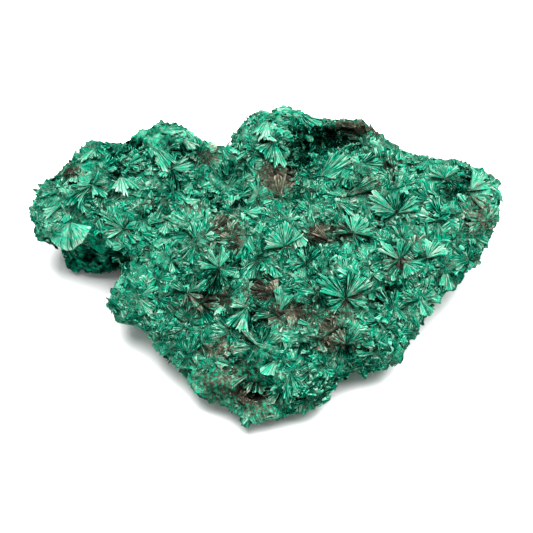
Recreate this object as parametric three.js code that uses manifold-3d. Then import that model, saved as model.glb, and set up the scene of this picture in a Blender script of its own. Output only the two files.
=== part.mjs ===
// A specimen of fibrous malachite, about 100 mm wide: a broken, slab-like mass of radiating crystal sprays
// that rests on its underside. Millimetres, +Z up. The showy face looks up and towards -Y, and the origin is
// the middle of the bounding box's bottom. The crystals grew into one another, so it is all one solid.
import * as THREE from "three";
import { mergeVertices } from "three/addons/utils/BufferGeometryUtils.js";
import Module from "manifold-3d";

const wasm = await Module();
wasm.setup();

// The slab. The outline below was drawn from the view direction, and the slab lies across it.
const VIEW_ELEVATION_DEG = 48; // the view direction's height above the horizon
const VIEW_DISTANCE = 790; // from the eye to the middle of the specimen
const FACE_SLOPE_DEG = 14; // how far the slab's middle plane rises towards the back
const FACE_BULGE = 8; // how far the face swells in front of the middle plane
const SECTION_POWER = 2.7; // 2 is an ellipse through the slab, more is squarer
const RIM_MARGIN = 0.3; // how far the body stays inside the outline, which the tips of its sprays reach
const FACE_WAVE = { size: 8, height: 1 }; // the face's broad unevenness, besides the humps listed below

// The sides and the underside
const REST_DEPTH = 12.5; // from the middle plane's centre down to the floor
const UNDERSIDE_CLEARANCE = 0.5; // how far the underside lies above the floor on average, between its feet
const UNDERSIDE_WAVE = { size: 15, height: 4.6 }; // its humps and hollows
const FOOT = { up: -4.5, radius: 18, drop: 3.4 }; // the broad foot that the specimen mostly rests on
const OVERHANG = { mean: 4, change: 4.5 }; // how far the sides fall back under the rim
const CORNERS = [-0.3, -0.15, 0, 0.15, 0.3]; // turns, in radians, over which the sides even out the outline
const SIDE_LUMPS = { size: 12, height: 3, sunk: 1.2 }; // the sides' broad unevenness, mostly inwards

// The body's own broken surface
const FACET_SIZE = 8; // of the blocky facets that it is broken into
const FACET_SLOPE = { face: 0.4, sides: 0.3 }; // how steeply they are tilted
const BODY_DETAIL = 10; // divisions of each face of the icosahedron that the body is bent from
const SMOOTHED_AWAY = 0.28; // relief smaller than this is taken out of the finished surface
const HUMP_STEEPNESS = 1.6; // of the face's listed humps: more is narrower
const HOLLOW_ROUGHNESS = 0.2; // of the hollows' walls, as a share of their radii
const LUMP_ROUGHNESS = 0.16;
const FLOOR_BLOCK = 300; // wide enough to wear the whole underside flat

// Places on the drawing are millimetres right and up of the middle, as seen from the view direction.
const OUTLINE = [
  [-49.1, 13.2], [-46.2, 15.1], [-43, 17.9], [-41.7, 20.2], [-39.4, 22.6], [-37.4, 24.7], [-32.3, 25.3],
  [-30.2, 24], [-28.9, 24.9], [-24.9, 27.4], [-19.8, 28.9], [-16.6, 27.9], [-14, 24.7], [-10, 24],
  [-6.8, 23.6], [-5.7, 26], [-3, 29.8], [-1.7, 31.1], [0.9, 30.9], [4.7, 32.1], [8.1, 31.9],
  [8.9, 30.4], [12.3, 29.4], [17.2, 30], [21.1, 29.8], [23.4, 27.2], [27.4, 25.7], [28.5, 23.2],
  [31.1, 22.8], [34.3, 21.3], [38.9, 20.6], [42.8, 21.3], [44.3, 19.6], [48.1, 17.4], [50.4, 12.8],
  [50.9, 10.4], [48.7, 9.1], [48.1, 6.2], [46.8, 2.6], [45.1, -1.7], [43, -4], [40.4, -4.7],
  [39.6, -7.4], [37, -10], [34.3, -12.3], [33.6, -16], [31.9, -17], [30, -22.1], [26.8, -23.6],
  [22.8, -25.5], [19.6, -25.1], [16.6, -27.7], [13, -30.4], [7.9, -33.4], [1.3, -34.3], [-3.2, -36.2],
  [-5.3, -34.7], [-7.7, -31.3], [-10.6, -30.2], [-14.3, -28.9], [-15.5, -26.2], [-18.5, -23.4],
  [-22.3, -19.6], [-22.6, -17.4], [-26.8, -14.5], [-32.1, -12.6], [-33.6, -9.1], [-30.9, -5.7],
  [-30, -1.5], [-33.6, 1.7], [-40.4, 2.3], [-43, 2.8], [-46.2, 4], [-46.8, 6.6], [-48.7, 9.8],
];

// Humps and hollows of the face: where they are, how far they reach across and up, and how far they rise.
const FACE_RELIEF = [
  { at: [-35.5, 14.5], reach: [12.8, 9.6], rise: 1.6 },
  { at: [-20.6, 24.7], reach: [8.5, 4.7], rise: 2.4 },
  { at: [-8.5, 19.8], reach: [2.8, 6.4], rise: -4.2 },
  { at: [0, 25.1], reach: [6.8, 6.8], rise: 4.2 },
  { at: [15.5, 28.1], reach: [8.9, 3], rise: 1.6 },
  { at: [19.1, 18.3], reach: [8.1, 5.1], rise: 3.4 },
  { at: [28.7, 21.3], reach: [2.6, 3.4], rise: -3.2 },
  { at: [41.1, 13.4], reach: [11.1, 8.9], rise: 2.6 },
  { at: [-20.6, 9.1], reach: [10.6, 2.6], rise: -1.8 },
  { at: [8.1, 0.6], reach: [14.9, 11.7], rise: 1.8 },
  { at: [27.2, -7.2], reach: [4.7, 3.8], rise: -2.2 },
  { at: [17.7, -16.4], reach: [10.6, 6.4], rise: 1.8 },
  { at: [-19.6, -11.1], reach: [8.5, 6.4], rise: 1.4 },
  { at: [-10, -20], reach: [7.2, 2.1], rise: 1.6 },
  { at: [-2.6, -30.2], reach: [8.5, 5.1], rise: -2.4 },
  { at: [-27, -0.9], reach: [5.1, 4.3], rise: 1.2 },
];

// Hollows with steep walls, cut out of the mass: the open vug behind the front plate, the iron-stained
// cave near the lower tip, and the deepest gaps between sprays.
const HOLLOWS = [
  { at: [13.8, 24.3], reach: [8.7, 3], depth: 10, turn: 12, detail: 4 },
  { at: [8.1, 21.5], reach: [2.6, 4.3], depth: 8, turn: -25, detail: 3 },
  { at: [-1.3, -28.5], reach: [4.3, 1.7], depth: 4.2, turn: -8, detail: 3 },
  { at: [-1.5, -13.6], reach: [1.5, 3], depth: 3.6, turn: 0, detail: 1 },
  { at: [10, 1.5], reach: [1.3, 2.1], depth: 3, turn: -15, detail: 1 },
  { at: [26.6, -7], reach: [1.9, 1.7], depth: 3.2, turn: 0, detail: 1 },
  { at: [-31.1, 18.9], reach: [1.9, 1.5], depth: 3.2, turn: 0, detail: 1 },
  { at: [-26.8, 23.6], reach: [1.9, 1.3], depth: 3.4, turn: 10, detail: 1 },
  { at: [41.1, 14.5], reach: [2.6, 1.3], depth: 3, turn: 20, detail: 1 },
  { at: [17.4, -20.2], reach: [1.9, 0.9], depth: 2.6, turn: 45, detail: 1 },
];

// The dark lump that joins the mass from behind and below, under the left lobe.
const LUMPS = [
  { at: [-34.7, 4], reach: [8.1, 7.4], behind: 9, depth: 11, turn: -10, detail: 5 },
];

// The largest sprays on the face, each a fan of fibres: where its fibres start, the way it opens in degrees
// (0 is right, 90 is up), half its opening, its length, and its tilt up from the surface.
const FACE_SPRAYS = [
  { at: [-41.1, 7.9], way: -92, half: 62, long: 6.0, lift: 18 },
  { at: [-36, 15.5], way: 205, half: 33, long: 6.2, lift: 22 },
  { at: [-36, 15.5], way: 245, half: 27, long: 8.3, lift: 26 },
  { at: [-36, 15.5], way: -42, half: 35, long: 6.4, lift: 24 },
  { at: [-36, 15.5], way: 18, half: 33, long: 6.2, lift: 28 },
  { at: [-30, 17], way: -68, half: 39, long: 9.4, lift: 28 },
  { at: [-43, 14.5], way: 190, half: 35, long: 6.4, lift: 10 },
  { at: [-36.2, 23], way: -100, half: 42, long: 6.4, lift: 16 },
  { at: [-28.5, 20], way: 10, half: 35, long: 6.9, lift: 30 },
  { at: [-23.8, 23.6], way: -30, half: 33, long: 7.1, lift: 30 },
  { at: [-19.1, 18.7], way: 205, half: 39, long: 7.6, lift: 30 },
  { at: [-19.1, 18.7], way: -60, half: 39, long: 7.8, lift: 26 },
  { at: [-23.8, 27.2], way: 0, half: 39, long: 8.0, lift: 12 },
  { at: [-29.1, 5.5], way: 170, half: 43, long: 7.4, lift: 26 },
  { at: [-20, 7.9], way: -75, half: 35, long: 7.4, lift: 24 },
  { at: [-9.1, -2.1], way: 175, half: 27, long: 6.0, lift: 30 },
  { at: [-9.1, -2.1], way: -75, half: 35, long: 9.7, lift: 26 },
  { at: [-15.7, -7], way: 12, half: 37, long: 7.4, lift: 24 },
  { at: [-15.7, -7], way: -48, half: 27, long: 7.6, lift: 30 },
  { at: [-3.2, -10.9], way: -122, half: 33, long: 8.0, lift: 30 },
  { at: [4.9, 2.6], way: 100, half: 40, long: 7.6, lift: 30 },
  { at: [4.9, 2.6], way: 186, half: 27, long: 7.8, lift: 26 },
  { at: [9.4, -0.9], way: 176, half: 35, long: 5.5, lift: 28 },
  { at: [9.4, -0.9], way: 58, half: 29, long: 6.2, lift: 28 },
  { at: [13.4, 4.7], way: 140, half: 35, long: 5.8, lift: 30 },
  { at: [19.1, 5.7], way: 14, half: 35, long: 6.0, lift: 30 },
  { at: [19.1, 5.7], way: 160, half: 33, long: 6.0, lift: 30 },
  { at: [17.9, -8.3], way: 150, half: 31, long: 9.7, lift: 26 },
  { at: [17.9, -8.3], way: 38, half: 27, long: 8.3, lift: 28 },
  { at: [17.9, -18.5], way: 130, half: 43, long: 7.1, lift: 24 },
  { at: [29.1, 9.8], way: 92, half: 45, long: 7.6, lift: 18 },
  { at: [29.1, 9.8], way: 158, half: 25, long: 9.4, lift: 26 },
  { at: [29.6, 0], way: 82, half: 41, long: 5.5, lift: 30 },
  { at: [29.6, 0], way: 142, half: 23, long: 6.2, lift: 32 },
  { at: [35.1, 0.2], way: 28, half: 31, long: 6.2, lift: 30 },
  { at: [30.2, -0.9], way: -18, half: 39, long: 6.9, lift: 20 },
  { at: [11.9, 17], way: 40, half: 23, long: 11.0, lift: 14 },
  { at: [17.7, 13.2], way: 22, half: 31, long: 9.7, lift: 22 },
  { at: [44.3, 14.5], way: 35, half: 40, long: 6.9, lift: 12 },
  { at: [38.9, 17], way: -40, half: 39, long: 6.2, lift: 28 },
  { at: [33.6, -8.9], way: -60, half: 43, long: 6.4, lift: 18 },
  { at: [6, -24.3], way: -84, half: 33, long: 8.0, lift: 22 },
  { at: [1.7, 29.8], way: 240, half: 33, long: 6.9, lift: 26 },
  { at: [14.5, -30.6], way: 140, half: 29, long: 7.6, lift: 16 },
];

// The smaller fans, and the fans' common build
const SCATTERED_SPRAYS = 82; // places for smaller fans, all over the specimen
const SCATTER_HEIGHTS = { top: 0.99, drop: 1.6 }; // on the unit ball: from the face down to the lower sides
const SPRAY_SPACING = 0.09; // how far these stay from the large ones, as an angle on the ball, in radians
const SMALL_SPRAY = { long: [5.5, 8.1], halfDeg: [28, 44], liftDeg: [6, 20], rollDeg: 16 };
const LARGE_SPRAY_ROLL_DEG = 16; // a fan is rolled about its own axis by up to this
const SPRAY_THICKNESS = 0.28; // of a fan's length, at its outer edge
const SPRAY_STUMP = 0.12; // of a fan's length: the width that its fibres start with
const SPRAY_ROOT = 0.9; // how far the fibres start inside the mass
const EDGE_POINTS = 3; // points along a fan's broken outer edge
const EDGE_BREAK = 0.16; // the most that one of them falls short, of the fan's length
const OUTLINE_SLACK = 0.3; // how far a fan's corner may lie outside the outline
const SHORTER = 0.88; // a fan that reaches further out is shortened by this, again and again
const SHORTEST_SPRAY = 2.6; // and left out below this

const radians = THREE.MathUtils.degToRad;
const elevation = radians(VIEW_ELEVATION_DEG);
const RIGHT = new THREE.Vector3(1, 0, 0);
const UP = new THREE.Vector3(0, Math.sin(elevation), Math.cos(elevation));
const NEARER = new THREE.Vector3(0, -Math.cos(elevation), Math.sin(elevation));
const VIEW_TURN = new THREE.Matrix4().makeBasis(RIGHT, UP, NEARER);
const MIDDLE_PLANE_SLOPE = -1 / Math.tan(elevation + radians(FACE_SLOPE_DEG));

// A repeatable number from 0 to 1 for each whole number.
function chance(n) {
  const x = Math.sin(n * 127.1 + 11.7) * 43758.5453;
  return x - Math.floor(x);
}

// Smooth noise from -1 to 1: chance values on a cubic lattice, blended between its corners.
function noise(x, y, z) {
  const cell = [x, y, z].map(Math.floor);
  const part = [x, y, z].map((v, i) => THREE.MathUtils.smootherstep(v - cell[i], 0, 1));
  let sum = 0;
  for (let corner = 0; corner < 8; corner++) {
    const step = [corner & 1, (corner >> 1) & 1, (corner >> 2) & 1];
    const key = (cell[0] + step[0]) * 57 + (cell[1] + step[1]) * 131 + (cell[2] + step[2]) * 1013;
    const share = step.reduce((all, s, i) => all * (s ? part[i] : 1 - part[i]), 1);
    sum += share * chance(key);
  }
  return 2 * sum - 1;
}

// The relief of blocky crystals, from -0.5 to 0.5 or so: each point takes the slope of the jittered lattice
// point nearest to it, so that the surface breaks into tilted facets with steps between them.
function facets(x, y, z) {
  let nearest = Infinity;
  let height = 0;
  for (let i = 0; i < 27; i++) {
    const cell = [Math.floor(x) + (i % 3) - 1, Math.floor(y) + (Math.floor(i / 3) % 3) - 1];
    cell.push(Math.floor(z) + Math.floor(i / 9) - 1);
    const key = cell[0] * 71 + cell[1] * 157 + cell[2] * 1319;
    const away = [x, y, z].map((v, axis) => v - cell[axis] - chance(key + axis * 0.37));
    const distance = Math.hypot(...away);
    if (distance < nearest) {
      nearest = distance;
      height = away.reduce((sum, v, axis) => sum + v * (2 * chance(key + axis * 0.61 + 0.2) - 1), 0);
    }
  }
  return height;
}

// Millimetres right, up and nearer, as seen from the view direction, as a point of the specimen.
function seen(right, up, nearer) {
  const shrink = 1 - nearer / VIEW_DISTANCE;
  return new THREE.Vector3()
    .addScaledVector(RIGHT, right * shrink)
    .addScaledVector(UP, up * shrink)
    .addScaledVector(NEARER, nearer);
}

// The outline as closely spaced points, sorted by their direction from the middle.
const outlineCurve = new THREE.CatmullRomCurve3(
  OUTLINE.map(([right, up]) => new THREE.Vector3(right, up, 0)), true, "centripetal",
);
const rim = outlineCurve
  .getPoints(OUTLINE.length * 6)
  .map((p) => ({ turn: Math.atan2(p.y, p.x), reach: Math.hypot(p.x, p.y) }))
  .sort((a, b) => a.turn - b.turn);

// How far the outline lies from the middle in one direction.
function outlineReach(angle) {
  const turn = Math.atan2(Math.sin(angle), Math.cos(angle));
  let after = rim.findIndex((p) => p.turn > turn);
  if (after < 0) after = 0;
  const before = rim[(after + rim.length - 1) % rim.length];
  const next = rim[after];
  const gap = THREE.MathUtils.euclideanModulo(next.turn - before.turn, 2 * Math.PI);
  const share = THREE.MathUtils.euclideanModulo(turn - before.turn, 2 * Math.PI) / (gap || 1);
  return THREE.MathUtils.lerp(before.reach, next.reach, Math.min(share, 1));
}

// The same with the outline's corners evened out, for the parts that lie further behind it.
function softReach(turn) {
  const around = CORNERS.map((step) => outlineReach(turn + step));
  return around.reduce((sum, reach) => sum + reach, 0) / around.length;
}

function faceRelief(right, up) {
  let rise = 0;
  for (const { at, reach, rise: height } of FACE_RELIEF) {
    const a = (right - at[0]) / reach[0];
    const b = (up - at[1]) / reach[1];
    rise += height * Math.exp(-(a * a + b * b) * HUMP_STEEPNESS);
  }
  return rise;
}

// How near the underside's deepest skin lies, as seen from the view direction. It runs a little above the
// floor with humps that the floor then wears flat.
function undersideLevel(right, up) {
  const foot = FOOT.drop * Math.exp(-((right / FOOT.radius) ** 2) - ((up - FOOT.up) / FOOT.radius) ** 2);
  const { size, height } = UNDERSIDE_WAVE;
  const level = UNDERSIDE_CLEARANCE + height * noise(right / size, up / size, 21) - foot - REST_DEPTH;
  return (level - up * UP.z) / NEARER.z;
}

// The point of the body's skin that a direction on the unit ball stands for. The ball's equator becomes
// the outline, one half becomes the face, and the other half the underside.
function skinPoint(direction) {
  const turn = Math.atan2(direction.y, direction.x);
  const bend = 2 / SECTION_POWER;
  const share = Math.hypot(direction.x, direction.y) ** bend;
  const swell = Math.abs(direction.z) ** bend;
  let reach = outlineReach(turn) - RIM_MARGIN;
  if (direction.z < 0) {
    const blend = Math.min(1, 2 * swell);
    reach = Math.min(reach, THREE.MathUtils.lerp(reach, softReach(turn), blend));
    const change = noise(direction.x * 4, direction.y * 4, direction.z * 4 + 40);
    reach -= swell * (OVERHANG.mean + OVERHANG.change * change);
  }
  reach *= share;
  const right = reach * Math.cos(turn);
  const up = reach * Math.sin(turn);
  const middle = MIDDLE_PLANE_SLOPE * up;
  if (direction.z >= 0) {
    const wave = FACE_WAVE.height * noise(right / FACE_WAVE.size, up / FACE_WAVE.size, 3);
    const broken = FACET_SLOPE.face * FACET_SIZE * facets(right / FACET_SIZE, up / FACET_SIZE, 5);
    const rise = FACE_BULGE + faceRelief(right, up) + wave + broken;
    return seen(right, up, middle + rise * swell);
  }
  const point = seen(right, up, middle + (undersideLevel(right, up) - middle) * swell);
  const outward = direction.clone().applyMatrix4(VIEW_TURN);
  const { size, height, sunk } = SIDE_LUMPS;
  const lump = height * noise(point.x / size, point.y / size, point.z / size + 7) - sunk;
  const at = point.clone().divideScalar(FACET_SIZE);
  const relief = lump + FACET_SLOPE.sides * FACET_SIZE * facets(at.x, at.y, at.z);
  return point.addScaledVector(outward, relief * Math.min(1, 3 * swell));
}

// The ball direction that stands for a place on the drawing, on the face's side and not quite at its rim.
function faceDirection(at) {
  const place = new THREE.Vector2(...at);
  const turn = Math.atan2(place.y, place.x);
  const share = Math.min(place.length() / outlineReach(turn), 0.97);
  const flat = share ** (SECTION_POWER / 2);
  return new THREE.Vector3(flat * Math.cos(turn), flat * Math.sin(turn), Math.sqrt(1 - flat * flat));
}

// The skin's outward normal, from two short steps along it.
function skinNormal(direction) {
  const side = new THREE.Vector3(-direction.y, direction.x, 0);
  if (side.length() < 1e-6) side.set(1, 0, 0);
  side.normalize();
  const over = new THREE.Vector3().crossVectors(direction, side);
  const step = 0.1;
  const along = (way, sign) => skinPoint(direction.clone().addScaledVector(way, sign * step).normalize());
  const a = along(side, 1).sub(along(side, -1));
  const b = along(over, 1).sub(along(over, -1));
  return a.cross(b).normalize();
}

// A closed three.js geometry as a solid that can be joined and cut.
function solid(geometry) {
  const bare = geometry.index ? geometry.toNonIndexed() : geometry.clone();
  bare.deleteAttribute("normal");
  bare.deleteAttribute("uv");
  const merged = mergeVertices(bare, 1e-4);
  return new wasm.Manifold(new wasm.Mesh({
    numProp: 3,
    vertProperties: merged.attributes.position.array,
    triVerts: new Uint32Array(merged.index.array),
  }));
}

// The body: an icosahedron's fine division, each corner moved to its place on the skin.
function body() {
  const ball = new THREE.IcosahedronGeometry(1, BODY_DETAIL);
  const corners = ball.attributes.position;
  for (let i = 0; i < corners.count; i++) {
    const direction = new THREE.Vector3().fromBufferAttribute(corners, i).normalize();
    corners.setXYZ(i, ...skinPoint(direction).toArray());
  }
  return solid(ball);
}

// A rough ellipsoid, drawn in the view's own directions: right, up and nearer.
function roughBall({ at, reach, depth, turn, detail }, nearer, roughness) {
  const ball = new THREE.IcosahedronGeometry(1, detail);
  const corners = ball.attributes.position;
  const angle = radians(turn);
  for (let i = 0; i < corners.count; i++) {
    const p = new THREE.Vector3().fromBufferAttribute(corners, i).normalize();
    p.multiplyScalar(1 + roughness * noise(p.x * 2.3 + at[0], p.y * 2.3 + at[1], p.z * 2.3));
    const across = p.x * reach[0];
    const high = p.y * reach[1];
    const right = at[0] + across * Math.cos(angle) - high * Math.sin(angle);
    const up = at[1] + across * Math.sin(angle) + high * Math.cos(angle);
    corners.setXYZ(i, ...seen(right, up, nearer + p.z * depth).toArray());
  }
  return solid(ball);
}

function hollow(shape) {
  const face = skinPoint(faceDirection(shape.at)).dot(NEARER);
  return roughBall(shape, face, HOLLOW_ROUGHNESS);
}

function lump(shape) {
  const middle = MIDDLE_PLANE_SLOPE * shape.at[1];
  return roughBall(shape, middle - shape.behind, LUMP_ROUGHNESS);
}

// A fan of fibres grown together: a flat wedge that starts narrow, widens and thickens along its length,
// and ends in a broken, stepped edge. It opens along +Y, with its broad faces across Z.
function sprayWedge(half, long, seed) {
  const outline = new THREE.Shape();
  const root = SPRAY_STUMP * long;
  outline.moveTo(-root * Math.sin(half), 0);
  outline.lineTo(root * Math.sin(half), 0);
  for (let i = 0; i < EDGE_POINTS; i++) {
    const turn = half * (1 - (2 * i) / (EDGE_POINTS - 1));
    const reach = long * (1 - EDGE_BREAK * chance(seed * 13 + i));
    outline.lineTo(reach * Math.sin(turn), reach * Math.cos(turn));
  }
  const wedge = new THREE.ExtrudeGeometry(outline, { depth: 1, bevelEnabled: false });
  const corners = wedge.attributes.position;
  for (let i = 0; i < corners.count; i++) {
    const along = Math.max(corners.getY(i) / long, SPRAY_STUMP);
    corners.setZ(i, (corners.getZ(i) - 0.5) * along * long * SPRAY_THICKNESS);
  }
  return wedge;
}

// How far a point lies outside the outline, as seen from the view direction.
function outsideOutline(point) {
  const scale = 1 - point.dot(NEARER) / VIEW_DISTANCE;
  const right = point.dot(RIGHT) / scale;
  const up = point.dot(UP) / scale;
  return Math.hypot(right, up) - outlineReach(Math.atan2(up, right));
}

// One spray standing on the skin, as solids: it opens along a way in the skin's plane, lifted off it, and
// rolled. It is shortened until no corner lies outside the outline.
function spray(point, normal, way, half, long, lift, roll, seed) {
  const along = way.clone().addScaledVector(normal, -way.dot(normal)).normalize();
  const axis = along.clone().multiplyScalar(Math.cos(lift)).addScaledVector(normal, Math.sin(lift));
  const flat = normal.clone().multiplyScalar(Math.cos(lift)).addScaledVector(along, -Math.sin(lift));
  flat.applyAxisAngle(axis, roll);
  const side = new THREE.Vector3().crossVectors(axis, flat);
  const root = point.clone().addScaledVector(normal, -SPRAY_ROOT);
  const place = new THREE.Matrix4().makeBasis(side, axis, flat).setPosition(root);
  for (let fitted = long; fitted > SHORTEST_SPRAY; fitted *= SHORTER) {
    const wedge = sprayWedge(half, fitted, seed).applyMatrix4(place);
    const corners = wedge.attributes.position;
    let outside = 0;
    for (let i = 0; i < corners.count; i++) {
      outside = Math.max(outside, outsideOutline(new THREE.Vector3().fromBufferAttribute(corners, i)));
    }
    if (outside < OUTLINE_SLACK) return [solid(wedge)];
  }
  return [];
}

function faceSprays() {
  return FACE_SPRAYS.flatMap(({ at, way, half, long, lift }, i) => {
    const direction = faceDirection(at);
    const turn = radians(way);
    const opens = RIGHT.clone().multiplyScalar(Math.cos(turn)).addScaledVector(UP, Math.sin(turn));
    const roll = radians(LARGE_SPRAY_ROLL_DEG) * (2 * chance(i + 401) - 1);
    const [point, normal] = [skinPoint(direction), skinNormal(direction)];
    return spray(point, normal, opens, radians(half), long, radians(lift), roll, i);
  });
}

// Smaller sprays, spread evenly over the ball by the golden angle, except close to the large ones.
function scatteredSprays() {
  const golden = Math.PI * (3 - Math.sqrt(5));
  const large = FACE_SPRAYS.map(({ at }) => faceDirection(at));
  const made = [];
  for (let i = 0; i < SCATTERED_SPRAYS; i++) {
    const height = SCATTER_HEIGHTS.top - (SCATTER_HEIGHTS.drop * (i + 0.5)) / SCATTERED_SPRAYS;
    const flat = Math.sqrt(1 - height * height);
    const direction = new THREE.Vector3(flat * Math.cos(i * golden), flat * Math.sin(i * golden), height);
    if (large.some((other) => other.angleTo(direction) < SPRAY_SPACING)) continue;
    const normal = skinNormal(direction);
    const way = new THREE.Vector3(chance(i + 50) - 0.5, chance(i + 150) - 0.5, chance(i + 250) - 0.5);
    const between = ([low, high], key) => low + (high - low) * chance(i + key);
    const half = radians(between(SMALL_SPRAY.halfDeg, 350));
    const long = between(SMALL_SPRAY.long, 450);
    const lift = radians(between(SMALL_SPRAY.liftDeg, 550));
    const roll = radians(SMALL_SPRAY.rollDeg) * (2 * chance(i + 650) - 1);
    made.push(...spray(skinPoint(direction), normal, way, half, long, lift, roll, i + 900));
  }
  return made;
}

// Everything below the floor, which the underside is worn flat against.
function floorBlock(level) {
  const block = new THREE.BoxGeometry(FLOOR_BLOCK, FLOOR_BLOCK, FLOOR_BLOCK);
  return solid(block.translate(0, 0, level - FLOOR_BLOCK / 2));
}

function specimen() {
  let mass = body();
  for (const shape of LUMPS) mass = mass.add(lump(shape));
  for (const shape of HOLLOWS) mass = mass.subtract(hollow(shape));
  for (const fan of [...faceSprays(), ...scatteredSprays()]) mass = mass.add(fan);
  mass = mass.subtract(floorBlock(-REST_DEPTH));
  const bodies = mass.simplify(SMOOTHED_AWAY).decompose();
  return bodies.sort((a, b) => b.volume() - a.volume())[0];
}

function geometryOf(mass) {
  const mesh = mass.getMesh();
  const geometry = new THREE.BufferGeometry();
  const corners = new Float32Array(mesh.numVert * 3);
  for (let i = 0; i < mesh.numVert; i++) {
    corners.set(mesh.vertProperties.subarray(i * mesh.numProp, i * mesh.numProp + 3), i * 3);
  }
  geometry.setAttribute("position", new THREE.BufferAttribute(corners, 3));
  geometry.setIndex(new THREE.BufferAttribute(mesh.triVerts, 1));
  geometry.computeBoundingBox();
  const middle = geometry.boundingBox.getCenter(new THREE.Vector3());
  return geometry.translate(-middle.x, -middle.y, -geometry.boundingBox.min.z);
}

const malachite = new THREE.MeshStandardMaterial({ color: 0x1f8f66, roughness: 0.5, metalness: 0 });
const group = new THREE.Group();
const mass = new THREE.Mesh(geometryOf(specimen()), malachite);
mass.name = "malachite_mass";
group.add(mass);

export default group;
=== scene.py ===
# %% [markdown]
# # A specimen of fibrous malachite
# The object is one broken piece of rock, about 100 mm wide, grown over with fans of green fibres.
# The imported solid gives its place, its size and its main forms. This script grows the fine crystals on it.

# %% Load the solid model as the fixed frame
import bpy
import numpy as np
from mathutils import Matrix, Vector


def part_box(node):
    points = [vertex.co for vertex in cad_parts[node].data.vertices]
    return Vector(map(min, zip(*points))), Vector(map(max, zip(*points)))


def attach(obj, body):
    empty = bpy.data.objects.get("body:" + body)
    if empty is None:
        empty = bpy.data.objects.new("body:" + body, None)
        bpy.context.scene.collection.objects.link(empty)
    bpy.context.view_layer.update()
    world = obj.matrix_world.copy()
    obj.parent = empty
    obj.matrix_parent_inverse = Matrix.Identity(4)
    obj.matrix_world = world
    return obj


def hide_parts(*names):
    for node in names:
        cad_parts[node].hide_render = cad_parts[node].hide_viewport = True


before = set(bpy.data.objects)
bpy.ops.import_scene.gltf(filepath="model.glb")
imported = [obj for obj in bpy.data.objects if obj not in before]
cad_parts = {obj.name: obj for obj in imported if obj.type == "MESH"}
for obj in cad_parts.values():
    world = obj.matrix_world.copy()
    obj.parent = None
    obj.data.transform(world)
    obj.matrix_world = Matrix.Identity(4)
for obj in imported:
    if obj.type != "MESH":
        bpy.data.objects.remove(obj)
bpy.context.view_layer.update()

import openvdb
from mathutils import Vector

NODE = "malachite_mass"
BODY = "root"
MM = 0.001  # shapes are worked out in millimetres, and meshes are in metres
BOX_LOW, BOX_HIGH = (np.array(corner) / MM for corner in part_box(NODE))
print("box of the solid in mm:", BOX_LOW.round(2), BOX_HIGH.round(2))

# %% [markdown]
# ## The camera
# The photograph looks down at the specimen from the front. A long lens from far away keeps its slight
# perspective. Where the specimen's middle appears, and how large a millimetre appears there, settle the
# camera's place and lens, so both are written down once and everything else follows from them.

# %% Camera
ELEVATION = np.radians(48)
DISTANCE = 790.0  # mm
IMAGE_SIZE = 533  # pixels
PX_PER_MM = 4.74  # at the specimen's middle
MIDDLE_PX = np.array([266.5, 249.6])
SENSOR_MM = 36.0

RIGHT = np.array([1.0, 0.0, 0.0])
UP = np.array([0.0, np.sin(ELEVATION), np.cos(ELEVATION)])
NEARER = np.array([0.0, -np.cos(ELEVATION), np.sin(ELEVATION)])
MIDDLE = (BOX_LOW + BOX_HIGH) / 2
IMAGE_MIDDLE = IMAGE_SIZE / 2
focal_px = PX_PER_MM * DISTANCE
drop_mm = (IMAGE_MIDDLE - MIDDLE_PX[1]) / PX_PER_MM
shift_mm = (IMAGE_MIDDLE - MIDDLE_PX[0]) / PX_PER_MM
EYE = MIDDLE + RIGHT * shift_mm - UP * drop_mm + NEARER * DISTANCE

camera_data = bpy.data.cameras.new("camera")
camera_data.sensor_width = SENSOR_MM
camera_data.lens = focal_px * SENSOR_MM / IMAGE_SIZE
camera_data.clip_end = 20
camera = bpy.data.objects.new("camera", camera_data)
bpy.context.scene.collection.objects.link(camera)
camera.location = Vector(EYE * MM)
camera.rotation_euler = (np.pi / 2 - ELEVATION, 0, 0)
bpy.context.scene.camera = camera
print("lens", round(camera_data.lens, 1), "mm, eye at", (EYE * MM).round(3))

# %% [markdown]
# ## How deep is a point in the rock?
# Every crystal has to know how far it lies under the solid's surface, and which way is out. A distance
# field answers both for thousands of points at once: a grid of numbers, each the distance to the nearest
# surface, negative inside. OpenVDB, which Blender carries, makes it from the solid's triangles, and numpy
# reads it between the grid's points.

# %% Distance field
VOXEL = 0.5  # mm
REACH_VOXELS = 16  # how far from the surface the distances are known
MARGIN_VOXELS = 10  # round the solid's box
SMOOTHING = 1.5  # voxels, of the field that gives the skin
NORMAL_SMOOTHING = 3  # voxels, of the field that gives the way out
ENDS_GROW = 0.9  # mm that the crystals stand out from the solid at its left and right ends
ENDS_LONG = 8.0  # mm over which that fades to nothing

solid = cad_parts[NODE]
corner_count = len(solid.data.vertices)
solid_points = np.empty(corner_count * 3, np.float32)
solid.data.vertices.foreach_get("co", solid_points)
solid_points = solid_points.reshape(-1, 3) / MM
solid.data.calc_loop_triangles()
solid_triangles = np.empty(len(solid.data.loop_triangles) * 3, np.int32)
solid.data.loop_triangles.foreach_get("vertices", solid_triangles)
solid_triangles = solid_triangles.reshape(-1, 3)

level_set = openvdb.FloatGrid.createLevelSetFromPolygons(
    solid_points.astype(np.float32),
    triangles=solid_triangles.astype(np.uint32),
    transform=openvdb.createLinearTransform(voxelSize=VOXEL),
    halfWidth=REACH_VOXELS,
)
FIRST_VOXEL = np.floor(BOX_LOW / VOXEL).astype(int) - MARGIN_VOXELS
last_voxel = np.ceil(BOX_HIGH / VOXEL).astype(int) + MARGIN_VOXELS
sharp_field = np.full(last_voxel - FIRST_VOXEL + 1, VOXEL * REACH_VOXELS, np.float32)
level_set.copyToArray(sharp_field, ijk=tuple(int(i) for i in FIRST_VOXEL))


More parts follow.
